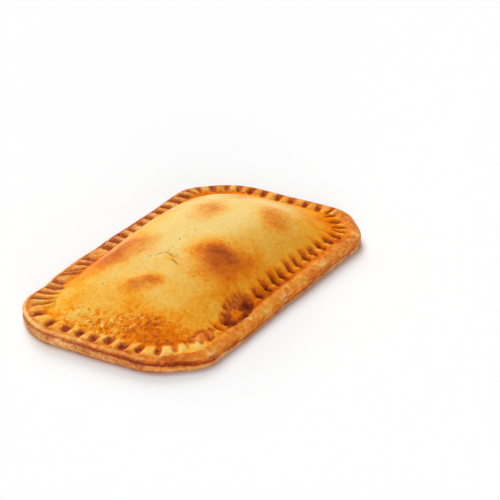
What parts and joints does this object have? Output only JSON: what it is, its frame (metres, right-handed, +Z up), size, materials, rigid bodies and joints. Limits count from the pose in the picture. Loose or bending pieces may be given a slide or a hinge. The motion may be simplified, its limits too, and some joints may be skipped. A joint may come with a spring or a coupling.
{
  "type": "empanada",
  "caption": "Whole baked empanada: a rectangular filled turnover with cut corners, a low domed lid browned with egg wash and a flat rim crimped with a fork.",
  "frame": {"origin": "middle of the bounding box at the level of the flat underside", "axes": "+X along the length, +Y across the width, +Z up out of the lid"},
  "size_m": [0.1648, 0.0958, 0.0253],
  "materials": {
    "baked_dough": "egg-washed crust, satin on the lid and dry at the edge"
  },
  "bodies": {
    "root": {"empanada": "baked_dough"}
  },
  "joints": []
}
